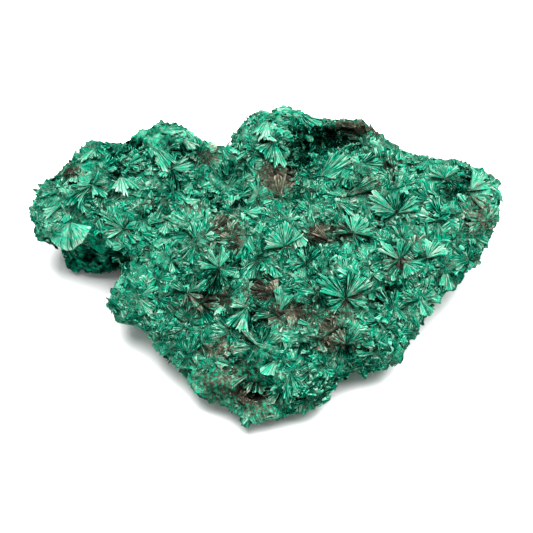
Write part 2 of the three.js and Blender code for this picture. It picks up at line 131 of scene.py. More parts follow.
def blurred(field, width):
    """The field averaged with a bell curve of the given width in voxels, along one axis after another."""
    most = int(np.ceil(2 * width))
    steps = np.arange(-most, most + 1)
    weights = np.exp(-0.5 * (steps / width) ** 2)
    weights /= weights.sum()
    for axis in range(3):
        padded = np.pad(field, [(most, most) if a == axis else (0, 0) for a in range(3)], "edge")
        length = field.shape[axis]
        field = sum(
            w * np.take(padded, np.arange(i, i + length), axis) for i, w in enumerate(weights)
        ).astype(np.float32)
    return field


voxel_x = (np.arange(sharp_field.shape[0]) + FIRST_VOXEL[0]) * VOXEL
to_end = np.clip((np.abs(voxel_x) - (BOX_HIGH[0] - ENDS_LONG)) / ENDS_LONG, 0, 1)
sharp_field -= (ENDS_GROW * to_end)[:, None, None].astype(np.float32)
soft_field = blurred(sharp_field, SMOOTHING)
broad_field = blurred(sharp_field, NORMAL_SMOOTHING)
print("distance field", sharp_field.shape, "from", sharp_field.min(), "to", sharp_field.max())


# %% Reading the field
def read_field(field, points):
    """The field at each point, blended in a straight line between the eight grid points around it."""
    place = points / VOXEL - FIRST_VOXEL
    place = np.clip(place, 0, np.array(field.shape) - 1.001)
    cell = place.astype(int)
    part = place - cell
    total = np.zeros(points.shape[:-1])
    for corner in np.ndindex(2, 2, 2):
        weight = np.prod(np.where(corner, part, 1 - part), axis=-1)
        index = cell + corner
        total += weight * field[index[..., 0], index[..., 1], index[..., 2]]
    return total


def unit(vectors):
    """The vectors with their length brought to one."""
    return vectors / np.maximum(np.linalg.norm(vectors, axis=-1, keepdims=True), 1e-9)


def outward(points, field=broad_field, step=0.8):
    """The direction in which the distance grows fastest, from differences over a short step."""
    steps = np.eye(3) * step
    slopes = [read_field(field, points + s) - read_field(field, points - s) for s in steps]
    return unit(np.stack(slopes, axis=-1))


SIGHT_STEP = 0.4  # mm
SIGHT_HALF = 60.0  # mm before and behind the specimen's middle


def seen_at(pixels, level=0.0):
    """Where the lines of sight through these pixels first meet the skin, or a level above or below it.
    The field is read at every step along each line. A line that passes beside the rock gives the point
    where it comes closest."""
    pixels = np.atleast_2d(np.array(pixels, float))
    across = (pixels - IMAGE_MIDDLE) / focal_px
    sight = unit(across[:, :1] * RIGHT - across[:, 1:] * UP - NEARER)
    steps = np.arange(DISTANCE - SIGHT_HALF, DISTANCE + SIGHT_HALF, SIGHT_STEP)
    points = EYE + sight[:, None] * steps[None, :, None]
    depth = read_field(soft_field, points) - level
    inside = depth < 0
    first = np.where(inside.any(1), inside.argmax(1), depth.argmin(1))
    rows = np.arange(len(pixels))
    over = np.clip(depth[rows, first] / (depth[rows, first] - depth[rows, first - 1]), 0, 1)
    return points[rows, first] - sight * SIGHT_STEP * np.where(inside.any(1), over, 0)[:, None]


print("middle of the picture meets the rock at", seen_at([266, 266]).round(1))

# %% [markdown]
# ## Chance and noise
# Natural forms need chance, but the same chance in every run. A hash turns the three whole numbers of a
# lattice cell into one number, and the two noises below are built on it: a smooth one for stains and
# swellings, and a cellular one that breaks a surface into the tilted facets of blocky crystals.


# %% Noise
def chance(cells, seed):
    """A number from 0 to 1 for each lattice cell: its whole numbers multiplied, mixed and cut short."""
    n = cells.astype(np.int64)
    mix = n[..., 0] * 73856093 ^ n[..., 1] * 19349663 ^ n[..., 2] * 83492791 ^ seed * 49979693
    mix = (mix ^ mix >> 13) * 1274126177 & 0xFFFFFFFF
    mix = (mix ^ mix >> 16) * 2246822519 & 0xFFFFFFFF
    return (mix ^ mix >> 15) % 65536 / 65535


def noise(points, size, seed):
    """Smooth noise from -1 to 1: chance values on a lattice of the given size, eased between its corners."""
    place = points / size
    cell = np.floor(place)
    part = place - cell
    part = part * part * (3 - 2 * part)
    total = np.zeros(points.shape[:-1])
    for corner in np.ndindex(2, 2, 2):
        total += np.prod(np.where(corner, part, 1 - part), axis=-1) * chance(cell + corner, seed)
    return 2 * total - 1


def facets(points, size, seed):
    """The relief of blocky crystals: each point takes the slope of the nearest jittered lattice point."""
    place = points / size
    cell = np.floor(place)
    nearest = np.full(points.shape[:-1], np.inf)
    height = np.zeros(points.shape[:-1])
    for corner in np.ndindex(3, 3, 3):
        at = cell + np.array(corner) - 1
        jitter = np.stack([chance(at, seed + axis) for axis in range(3)], axis=-1)
        away = place - at - jitter
        slope = np.stack([chance(at, seed + 3 + axis) for axis in range(3)], axis=-1) * 2 - 1
        distance = (away**2).sum(-1)
        closer = distance < nearest
        nearest = np.where(closer, distance, nearest)
        height = np.where(closer, (away * slope).sum(-1) + slope[..., 0] * 0.5, height)
    return height * size


# %% [markdown]
# ## Regions
# The rock isn't the same all over. There is a rusty, granular matrix along the lower tip, a dull patch
# near the vug, dark hollows and a dark lump under the left end, whose darkness is partly painted shade,
# and smooth pale lobes. Each region is a soft ellipsoid on the face. It is placed by the pixel where the
# photograph shows it, and holds for every crystal near it.

# %% Regions
# pixel across, pixel down, reach across, reach down, strength
BROWN = [
    (222, 380, 38, 26, 0.5), (250, 396, 24, 14, 0.85), (208, 398, 18, 12, 0.4), (262, 412, 16, 10, 0.5),
    (290, 312, 30, 13, 0.7), (262, 290, 18, 12, 0.75), (330, 325, 18, 16, 0.7), (345, 315, 12, 10, 0.5),
    (236, 236, 9, 20, 0.6), (213, 246, 14, 10, 0.45), (316, 232, 12, 9, 0.85), (217, 349, 24, 7, 0.75),
    (345, 232, 16, 8, 0.55), (352, 297, 12, 9, 0.6), (398, 262, 15, 9, 0.6), (286, 246, 9, 7, 0.5),
    (277, 177, 18, 15, 1.0), (270, 196, 22, 6, 0.4), (72, 171, 10, 7, 0.75), (208, 157, 14, 8, 0.65),
    (352, 125, 22, 10, 0.8), (372, 128, 12, 10, 0.7), (388, 168, 8, 16, 0.5), (415, 240, 12, 8, 0.4),
    (92, 186, 7, 5, 0.5), (150, 205, 14, 8, 0.35), (190, 207, 12, 6, 0.4), (170, 222, 6, 5, 0.4),
    (300, 205, 22, 6, 0.3), (360, 345, 14, 10, 0.4), (250, 340, 30, 12, 0.35), (480, 215, 18, 22, 0.55),
    (353, 234, 9, 7, 0.8), (345, 300, 9, 7, 0.8), (400, 260, 10, 8, 0.9), (285, 245, 7, 6, 0.6),
    (219, 268, 6, 6, 0.5), (124, 229, 6, 5, 0.4), (330, 340, 18, 14, 0.7), (397, 213, 6, 5, 0.5),
    (120, 230, 6, 6, 0.3), (446, 190, 10, 6, 0.35),
]
# the dark places: the vug, crevices and the lump under the left end. Their colour is darkened partly for
# their dark crystals and partly as painted shade, where shade falls in hollows and under the overhang.
DARK_AND_SHADED = [
    (95, 262, 34, 18, 0.5), (70, 256, 16, 12, 0.5), (116, 262, 12, 14, 0.8), (322, 146, 46, 16, 0.7),
    (300, 166, 15, 15, 0.9), (318, 131, 36, 8, 0.7), (253, 320, 8, 14, 0.9), (309, 247, 7, 9, 0.8),
    (388, 291, 8, 7, 0.8), (341, 384, 12, 8, 0.9), (345, 351, 8, 5, 0.7), (117, 167, 9, 9, 0.8),
    (136, 147, 10, 8, 0.8), (112, 153, 6, 5, 0.6), (226, 170, 6, 10, 0.8), (238, 196, 8, 8, 0.6),
    (216, 200, 12, 8, 0.5), (280, 152, 7, 6, 0.7), (468, 175, 6, 5, 0.6), (455, 190, 11, 6, 0.6),
    (254, 392, 20, 8, 0.75), (205, 290, 18, 16, 0.45), (300, 420, 24, 8, 0.4), (372, 372, 16, 8, 0.4),
    (279, 173, 13, 9, 0.5), (360, 240, 10, 4, 0.5), (360, 184, 22, 4, 0.6), (178, 152, 9, 6, 0.5),
    (160, 214, 12, 5, 0.5),
]
PALE = [
    (150, 134, 18, 10, 0.4), (252, 130, 12, 18, 0.6), (284, 110, 18, 6, 0.6), (85, 160, 20, 14, 0.35),
    (70, 238, 18, 7, 0.5), (108, 239, 18, 5, 0.6), (490, 195, 12, 22, 0.45), (250, 196, 14, 10, 0.5),
    (48, 215, 14, 20, 0.5), (380, 140, 20, 10, 0.4), (330, 170, 24, 10, 0.4), (125, 195, 18, 22, 0.35),
    (440, 170, 20, 10, 0.3), (295, 335, 9, 12, 0.4), (440, 253, 10, 7, 0.4), (358, 195, 28, 10, 0.35),
    (200, 220, 30, 14, 0.15), (245, 215, 16, 7, 0.4), (180, 142, 18, 12, 0.3), (220, 188, 16, 10, 0.3),
]
REGION_DEPTH_MM = 7.0
DARK_AND_SHADE_DEPTH_MM = 15.0  # the dark crystals and the painted shade reach down to the hollows' floors


def region(points, places, deep=REGION_DEPTH_MM):
    """How far each point belongs to a region, from 0 to 1: the strongest of its soft ellipsoids there."""
    table = np.array(places, float)
    centres = seen_at(table[:, :2])
    strongest = np.zeros(points.shape[:-1])
    for centre, (_, _, across, down, strength) in zip(centres, table):
        away = points - centre
        share = (away @ RIGHT * PX_PER_MM / across) ** 2 + (away @ UP * PX_PER_MM / down) ** 2
        share = share + (away @ NEARER / deep) ** 2
        strongest = np.maximum(strongest, strength * np.exp(-0.8 * share))
    return strongest


def dark_and_shade_share(points):
    """How dark the rock is at each point, from 0 to 1: partly its dark crystals, partly painted shade in
    hollows and under the overhang.
    """
    return region(points, DARK_AND_SHADED, DARK_AND_SHADE_DEPTH_MM)


def brown_share(points):
    """How brown the rock is at each point, from 0 to 1: its brown regions, and patches by chance."""
    by_chance = 0.6 * np.clip(noise(points, 9.0, 65) * 2.2 - 0.9, 0, 1)
    return np.maximum(region(points, BROWN), by_chance)


print("regions:", len(BROWN), "brown,", len(DARK_AND_SHADED), "dark,", len(PALE), "pale")

# %% [markdown]
# ## A ledge to level
# The solid has a ledge where the photograph shows one broad fan. There the distance field is blended
# with a much smoother copy of itself, so that the skin and the fans lie on an even slope.


# %% Levelled places
# pixel across, pixel down, reach across, reach down, strength
LEVELLED = [(121, 190, 42, 16, 1.0)]
LEVEL_SMOOTHING = 7  # voxels
LEVEL_REACH = 8.0  # mm on both sides of the surface


def grid_points(field):
    """The place in mm of every voxel of the field."""
    steps = np.stack(np.meshgrid(*[np.arange(n) for n in field.shape], indexing="ij"), axis=-1)
    return (steps + FIRST_VOXEL) * VOXEL


level_field = blurred(sharp_field, LEVEL_SMOOTHING)
near_level = np.abs(soft_field) < LEVEL_REACH
level_share = region(grid_points(soft_field)[near_level], LEVELLED)
for field in (soft_field, broad_field):
    field[near_level] += (level_share * (level_field - field)[near_level]).astype(np.float32)
print("voxels levelled:", (level_share > 0.5).sum())

# %% [markdown]
# ## Meshes from arrays
# Every piece below ends as arrays of corners and triangles, with numbers that its material reads. One
# helper turns them into a Blender mesh, in metres, with its object at the origin.


# %% Mesh helper
def add_mesh(name, points, triangles, kind, fibre):
    """Corner positions in mm and corner numbers of triangles become a mesh. kind holds, for each corner,
    its tone, brownness, graininess and darkness; the tone and the darkness carry some painted shade. fibre
    holds its place across and along its fan, and its fan's own chance number."""
    mesh = bpy.data.meshes.new(name)
    mesh.vertices.add(len(points))
    mesh.vertices.foreach_set("co", (points * MM).astype(np.float32).ravel())
    mesh.loops.add(triangles.size)
    mesh.loops.foreach_set("vertex_index", triangles.astype(np.int32).ravel())
    mesh.polygons.add(len(triangles))
    mesh.polygons.foreach_set("loop_start", np.arange(0, triangles.size, 3, dtype=np.int32))
    mesh.update(calc_edges=True)
    mesh.shade_flat()
    attribute = mesh.attributes.new("kind", "FLOAT_COLOR", "POINT")
    attribute.data.foreach_set("color", kind.astype(np.float32).ravel())
    attribute = mesh.attributes.new("fibre", "FLOAT_VECTOR", "POINT")
    attribute.data.foreach_set("vector", fibre.astype(np.float32).ravel())
    mesh.validate()
    piece = bpy.data.objects.new(name, mesh)
    bpy.context.scene.collection.objects.link(piece)
    return piece


# %% [markdown]
# ## The roots of the rosettes
# Malachite fibres grow out from points. Around each point they make a rosette, and where two rosettes
# meet, they stop. So the roots come first: those that the photograph shows, and others by chance all
# over the rock, a few millimetres apart.

# %% Roots
# pixel across, pixel down
SHOWN_ROOTS = [
    (70, 222), (92, 185), (121, 176), (128, 164), (60, 191), (95, 148), (152, 146), (172, 168), (160, 132),
    (124, 229), (167, 220), (219, 268), (187, 292), (248, 307), (285, 246), (306, 263), (328, 240),
    (353, 233), (346, 298), (346, 345), (397, 213), (401, 260), (427, 257), (318, 178), (345, 196),
    (470, 190), (445, 178), (420, 300), (290, 372), (268, 120), (330, 400), (238, 196), (232, 214),
    (207, 190), (150, 250), (160, 300), (190, 325), (300, 335), (385, 330), (370, 265), (262, 222),
    (150, 190), (75, 165), (385, 165), (310, 205),
]
ROOT_SPACING = 5.6  # mm
CLEAR_OF_SHOWN = 4.2  # mm round the shown roots that stay free of others


def thinned(points, size, seed):
    """Numbers of points picked by chance, one from each lattice cell of the given size in mm."""
    random = np.random.default_rng(seed)
    order = random.permutation(len(points))
    cells = np.floor(points[order] / size + random.random(3)).astype(int)
    _, first = np.unique(cells, axis=0, return_index=True)
    return order[first]


near_solid = np.argwhere(np.abs(soft_field) < 0.4 * VOXEL)
near_solid = (near_solid + FIRST_VOXEL) * VOXEL
shown_roots = seen_at(SHOWN_ROOTS)
chance_roots = near_solid[thinned(near_solid, ROOT_SPACING, 81)]
gap = np.linalg.norm(chance_roots[:, None] - shown_roots[None], axis=-1).min(1)
roots = np.concatenate([shown_roots, chance_roots[gap > CLEAR_OF_SHOWN]])
root_out = outward(roots)


def root_chance(seed):
    """A number from 0 to 1 for each root."""
    return chance(np.floor(roots * 10), seed)


LEAST_SECTORS, MORE_SECTORS = 5, 4
sector_count = LEAST_SECTORS + np.floor(MORE_SECTORS * root_chance(95))
print("roots:", len(shown_roots), "shown,", len(roots) - len(shown_roots), "by chance")

# %% [markdown]
# ## The skin of grown-together rosettes
# Most of the surface is fibres that have grown together. It could be the solid itself, but its edges
# would look cut, so the skin is taken from the distance field. It lies a little over the solid, without
# its corners, and deeper where the rock is dark. Each point of it belongs to the nearest root. Round the
# root the skin is divided into sectors, and each sector is tilted, creased and ridged in its own way, as
# the fans of a rosette are.


# %% Sectors round the roots
def two_ways(out):
    """Two directions at right angles to each other and to out."""
    first = unit(np.cross(out, np.array([0.3, 0.2, 0.9])))
    return first, np.cross(out, first)


def fan_sectors(points):
    """For each point: the root that it belongs to, its distance from it, its sector's number, and its
    place across the sector from 0 to 1. The distance is measured in the plane across the root's normal,
    and the angle there, divided by the sector's width, gives the sector and the place across it."""
    warped = points + 0.7 * np.stack([noise(points, 2.6, seed) for seed in (91, 92, 93)], axis=-1)
    weight = 5.0 * root_chance(94)
    nearest = np.empty(len(points), int)
    for part in np.array_split(np.arange(len(points)), 40):
        gaps = ((warped[part, None] - roots[None]) ** 2).sum(-1) - weight
        nearest[part] = gaps.argmin(1)
    first, second = two_ways(root_out[nearest])
    away = points - roots[nearest]
    x, y = (away * first).sum(-1), (away * second).sum(-1)
    turn = np.arctan2(y, x) / (2 * np.pi) + 0.5 + 0.012 * noise(points, 1.2, 96)
    turn = turn * sector_count[nearest] + 7 * root_chance(97)[nearest]
    return nearest, np.hypot(x, y), np.floor(turn), turn - np.floor(turn)


# %% Base skin
SKIN_HEIGHT = 0.45  # mm over the rounded solid
SKIN_REACH = 6  # mm on both sides of the solid's surface in which the skin may lie
HOLLOW_DEPTH = 1.3  # mm: how much deeper the skin lies where it is darkest
FULL_RADIUS = 5.5  # mm, of a rosette whose fibres have grown to their full length
FOOT_HEIGHT = 3.0  # mm over which the relief grows from the floor up
CRAG_SHARE = 0.22  # of a facet's full tilt
UNDER_NAMED_MM = 0.6  # how much lower the skin lies under the fans placed one by one
CLEAR_ROOT_MM = 2.4  # how far round their roots it lies as low
SMOOTH_LOBES = [
    (150, 135, 28, 15, 0.9), (487, 195, 12, 24, 0.6), (85, 158, 22, 16, 0.7), (276, 176, 18, 15, 0.9),
    (345, 125, 34, 8, 0.7), (222, 385, 40, 24, 0.9), (262, 405, 24, 14, 0.8), (282, 112, 22, 8, 0.7),
]
UNDER_LUMP = [(88, 262, 44, 24, 1.0)]
LUMP_DEPTH = 24.0  # mm: the lump is as smooth behind as in front


def smooth_share(points):
    """How smooth the rock is at each point, from 0 to 1: a lobe's share, or the lump's under the left end."""
    return np.maximum(region(points, SMOOTH_LOBES), region(points, UNDER_LUMP, LUMP_DEPTH))


def facing_out(points, triangles):
    """The triangles turned so that the volume that they close is positive."""
    a, b, c = (points[triangles[:, i]] for i in range(3))
    return triangles if (a * np.cross(b, c)).sum() > 0 else triangles[:, ::-1]


near_skin = np.abs(soft_field) < SKIN_REACH
near_points = grid_points(soft_field)[near_skin]
skin_field = soft_field.copy()
skin_field[near_skin] += (HOLLOW_DEPTH * dark_and_shade_share(near_points) - SKIN_HEIGHT).astype(np.float32)
skin_grid = openvdb.FloatGrid(VOXEL * REACH_VOXELS)
skin_grid.copyFromArray(skin_field, ijk=tuple(int(i) for i in FIRST_VOXEL))
skin_grid.transform = openvdb.createLinearTransform(voxelSize=VOXEL)
skin_points, skin_quads = skin_grid.convertToQuads(isovalue=0.0)
skin_points = skin_points.astype(float)
skin_triangles = np.concatenate([skin_quads[:, [0, 1, 2]], skin_quads[:, [0, 2, 3]]]).astype(int)
skin_triangles = facing_out(skin_points, skin_triangles)
skin_out = outward(skin_points)
print("skin:", len(skin_points), "corners,", len(skin_triangles), "triangles")

# %% [markdown]
# ## The shape of one fan
# A fan is a bundle of fibres that start in one point and spread. It could be built fibre by fibre, but
# thousands of fans would then need millions of faces. Here a fan is one closed shell: a sheet on a polar
# grid, across the fibres and along them, folded into sharp ridges, with an uneven outer edge. A small
# wall at its edge and a cone back to a point under its root close it.


# %% Fan shells
STUMP = 0.08  # of the length: the radius that the sheet starts at
POINTED = 0.04  # of the length: how much shorter the outermost fibres are
DEEP_GROOVES = 0.28  # the share of the valleys that are dark gaps between bundles
GROOVE_DEPTH = 3.0  # times that of the other valleys
FOLD_STEEPNESS = 0.2  # of a ridge's half width
WANDER = 0.35  # of a ridge's half width: how far the fibres bend aside
DRAPE = 0.8  # how far a fan follows the rock under it, from 0 to 1
UNDER_ROOT = 0.13  # of the length: how deep the point under the root lies
BUNDLE_TONE = 0.07  # how much the bundles of one fan differ in tone
GROOVE_SHADE = 0.22  # painted shade: how much darker the deep grooves are coloured


def fan_shells(fans, ridges, rows):
    """All fans at once, as corners and triangles.
    A corner's radius is the length times a share from the stump to one, cut short by chance at the edge.
    Its angle runs from minus to plus half the opening. Its height over the fan's plane is the ridges'
    zigzag, plus a crease and a tilt that grow to the sides, plus most of the way to where the fan would
    follow the rock, rising evenly from the level of its root. Each further drape goes most of the way that
    is left."""
    count = len(fans["long"])
    random = np.random.default_rng(fans["seed"])
    columns = 2 * ridges + 1
    across = np.linspace(-1, 1, columns)
    along = np.linspace(0, 1, rows + 1)
    long, half = fans["long"][:, None, None], fans["half"][:, None, None]

    teeth = random.random((count, 1, columns)) ** 1.5
    bundles = random.random((count, 1, columns))
    bundles = (bundles + np.roll(bundles, 1, 2) + np.roll(bundles, 2, 2)) / 3
    short = fans["jag"][:, None, None] * (0.5 * teeth + 1.0 * bundles) + POINTED * across**2
    radius = long * (STUMP + (1 - STUMP) * along[None, :, None] * (1 - short))
    wander = random.normal(0, WANDER / ridges, (count, 1, columns)) * along[None, :, None]
    angle = half * (across + wander)

    grooves = np.where(random.random((count, 1, columns)) < DEEP_GROOVES, GROOVE_DEPTH, 1.0)
    fold = np.where(np.arange(columns) % 2, 1.0, -grooves) * (0.4 + random.random((count, 1, columns)))
    height = FOLD_STEEPNESS * fold * half * radius / ridges
    height = height + fans["crease"][:, None, None] * np.abs(across) * half * radius
    height = height + fans["tilt"][:, None, None] * across * half * radius
    axis, side, normal, root = (fans[key][:, None, None, :] for key in ("axis", "side", "normal", "root"))
    flat = root + (radius * np.cos(angle))[..., None] * axis + (radius * np.sin(angle))[..., None] * side
    level = fans["level"][:, None, None] + fans["rise"][:, None, None] * radius / long
    drape = np.zeros(flat.shape[:-1])
    for _ in range(fans["drapes"]):
        drape = drape + DRAPE * (level - read_field(broad_field, flat + drape[..., None] * normal))
    sheet = flat + (height + drape)[..., None] * normal

    thickness = (fans["thick"][:, None] * (0.6 + 0.8 * random.random((count, columns))))[..., None]
    edge = sheet[:, -1] - thickness * normal[:, 0]
    under = root[:, 0] - normal[:, 0] * (UNDER_ROOT * fans["long"])[:, None, None]
    points = np.concatenate([sheet.reshape(count, -1, 3), edge, under], axis=1)

    number = np.arange((rows + 1) * columns).reshape(rows + 1, columns)
    edge_number = number[-1, -1] + 1 + np.arange(columns)
    every_row = np.vstack([number, edge_number])
    a, b = every_row[:-1, :-1].ravel(), every_row[:-1, 1:].ravel()
    c, d = every_row[1:, :-1].ravel(), every_row[1:, 1:].ravel()
    grid = np.concatenate([np.stack([a, c, b], 1), np.stack([b, c, d], 1)])
    rim = np.concatenate([every_row[0], every_row[1:, -1], every_row[-1, -2::-1], every_row[-2:0:-1, 0]])
    cone = np.stack([rim, np.roll(rim, -1), np.full(len(rim), edge_number[-1] + 1)], 1)
    triangles = np.concatenate([grid, cone])
    triangles = triangles[None] + (np.arange(count) * points.shape[1])[:, None, None]

    place = np.stack(np.broadcast_arrays((across + 1) / 2, along[:, None]), axis=-1).reshape(-1, 2)
    place = np.concatenate([place, place[-columns:] + [0.0, 0.15], [[0.5, 0.0]]])
    fibre = np.empty((count, len(place), 3))
    fibre[:, :, 0] = place[:, 0] * (2 * fans["half"] * fans["long"])[:, None]
    fibre[:, :, 1] = place[:, 1]
    fibre[:, :, 2] = random.random(count)[:, None]
    kind = np.stack([fans["tone"], fans["brown"], np.zeros(count), fans["dark"]], axis=-1)
    kind = np.repeat(kind[:, None, :], points.shape[1], axis=1)
    # painted shade: the bundles at the deep grooves are coloured darker, besides their own tone by chance
    bundle_tone_and_groove_shade = random.normal(0, BUNDLE_TONE, (count, columns)) - GROOVE_SHADE * (grooves[:, 0] > 1)
    kind[:, :-1, 0] += np.tile(bundle_tone_and_groove_shade, rows + 2)
    return points.reshape(-1, 3), triangles.reshape(-1, 3), kind.reshape(-1, 4), fibre.reshape(-1, 3)


# %% Placing fans
LOWEST = 0.15  # mm over the floor that fans keep
FALL_AWAY = 0.3  # of the length: how far the rock may fall away under a fan's tip
SHORTENINGS = 12  # at most
SHORTENED = 0.88  # of the length is left each time
PALE_TONE = 0.3  # how much brighter the palest places are


def placed(
    root, out, way, lift, roll, long, half, seed, jag=0.3, thick=0.25, stand=0.7, fall=FALL_AWAY, drapes=1,
):
    """Fans on the skin. A fan's axis is the way it opens, brought into the skin's plane. Its lift is the
    angle at which it rises, and its roll tilts it to one side. It is shortened where the rock falls away
    from it, and its tip stands no higher over the rock than stand."""
    random = np.random.default_rng(seed)
    count = len(root)
    axis = unit(way - (way * out).sum(-1, keepdims=True) * out)
    side = np.cross(out, axis)
    long, half = np.broadcast_to(long, count).copy(), np.broadcast_to(half, count)
    for _ in range(SHORTENINGS):
        too_long = np.zeros(count, bool)
        for turn in (-1, 0, 1):
            edge = np.cos(turn * half)[:, None] * axis + np.sin(turn * half)[:, None] * side
            tip = root + edge * long[:, None]
            too_long |= (read_field(broad_field, tip) > fall * long) | (tip[:, 2] < LOWEST)
        long = np.where(too_long, long * SHORTENED, long)
    level = read_field(broad_field, root)
    rise = np.minimum(np.sin(lift) * long, stand - level)
    middle = root + axis * (0.5 * long)[:, None]
    tone = random.normal(0, 0.10, count) + PALE_TONE * region(middle, PALE) + 0.10 * noise(middle, 6.0, 52)
    return {
        "root": root, "axis": axis, "side": side, "normal": out, "long": long, "half": half,
        "jag": np.broadcast_to(jag, count), "thick": np.broadcast_to(thick, count),
        "crease": random.uniform(-0.3, 0.15, count), "tilt": np.tan(roll) * np.ones(count),
        "level": level, "rise": rise, "tone": tone, "brown": brown_share(middle), "dark": dark_and_shade_share(middle),
        "seed": seed, "drapes": drapes,
    }


SMOOTH_JAG = 0.1  # a fan whose rim is as even as this stays whole


def bladed(fans, blade_half, loose, seed):
    """Each fan divided into blades side by side. A blade's axis is its fan's, turned in the fan's plane to
    its place. Its length, rise and tilt vary a little by chance. A fan with a smooth rim stays whole."""
    random = np.random.default_rng(seed)
    blades = np.maximum(np.round(fans["half"] / blade_half).astype(int), 1)
    blades = np.where(fans["jag"] < SMOOTH_JAG, 1, blades)
    number = np.arange(blades.sum()) - np.repeat(np.cumsum(blades) - blades, blades)
    out = {key: np.repeat(value, blades, axis=0) if isinstance(value, np.ndarray) else value
           for key, value in fans.items()}
    blades = np.repeat(blades, blades)
    turn = (((number + 0.5) / blades * 2 - 1) * out["half"] + random.normal(0, 0.03, len(number)))[:, None]
    axis = np.cos(turn) * out["axis"] + np.sin(turn) * out["side"]
    out["axis"], out["side"] = axis, np.cross(out["normal"], axis)
    out["long"] = out["long"] * (1 - out["jag"] * random.uniform(0, 0.8, len(number)))
    out["rise"] = out["rise"] + out["long"] * random.normal(0, loose, len(number))
    out["tilt"] = out["tilt"] + random.normal(0, 2 * loose, len(number))
    out["half"] = out["half"] / blades * random.uniform(0.8, 1.12, len(number))
    out["tone"] = out["tone"] + random.normal(0, 0.06, len(number))
    out["crease"] = random.uniform(-0.4, 0.1, len(number))
    return out


def kept(fans, keep):
    """The fans for which keep is true."""
    return {key: value[keep] if isinstance(value, np.ndarray) else value for key, value in fans.items()}


# %% [markdown]
# ## The fans that the photograph shows best
# About a hundred fans are large or plain enough to be told apart. They are placed one by one, each where
# the photograph shows the point that its fibres start from, with the way that it opens, how wide and how
# long it is, and how bright.

